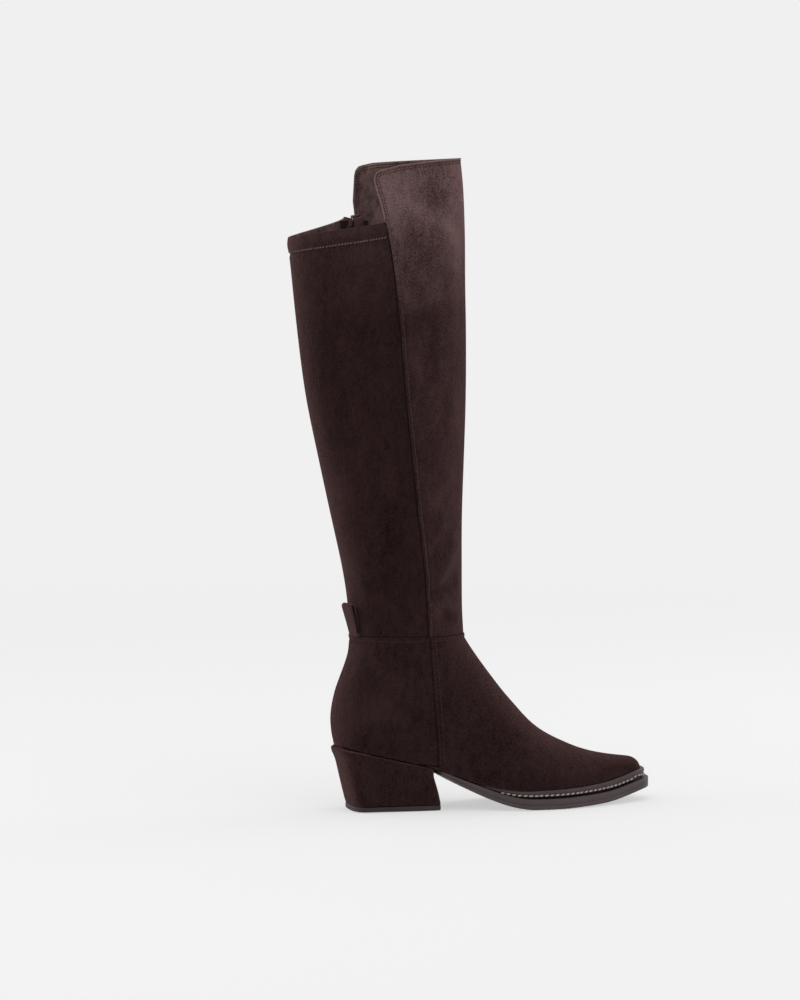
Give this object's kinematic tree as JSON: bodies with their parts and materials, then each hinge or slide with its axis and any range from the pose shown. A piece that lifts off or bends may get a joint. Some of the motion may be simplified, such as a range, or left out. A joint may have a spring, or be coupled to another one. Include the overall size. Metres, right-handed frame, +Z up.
{
  "type": "knee-high boot",
  "caption": "Right-foot knee-high suede boot with a snip toe, low block heel, tall front panel, stretch back panel, back pull loop and a medial zip.",
  "frame": {"origin": "middle of the heel's tread, on the floor", "axes": "+X toward the toe, +Y toward the medial side, +Z up"},
  "size_m": [0.317, 0.0972, 0.5461],
  "materials": {
    "suede": "brown napped suede",
    "stretch": "brown stretch suede",
    "rubber": "brown matte",
    "cord": "brown, stitched",
    "lining": "tan lining",
    "tape": "woven, brown",
    "teeth": "antique bronze",
    "bronze": "antique bronze"
  },
  "bodies": {
    "boot": {"upper": "suede", "shaft_front": "suede", "shaft_back": "stretch", "outsole": "rubber", "welt": "cord", "heel": "suede", "top_lift": "rubber", "insole": "lining", "pull_loop": "suede", "zip_tape": "tape", "zip_chain": "teeth", "zip_slider": "bronze"},
    "zip_pull": {"zip_pull": "bronze"}
  },
  "joints": [
    {"name": "pull_swing", "type": "hinge", "parent": "boot", "child": "zip_pull", "pos_m": [-0.02206, 0.04668, 0.48555], "axis": [0.9494, 0.0604, 0.3082], "range_deg": [0, 150]}
  ]
}
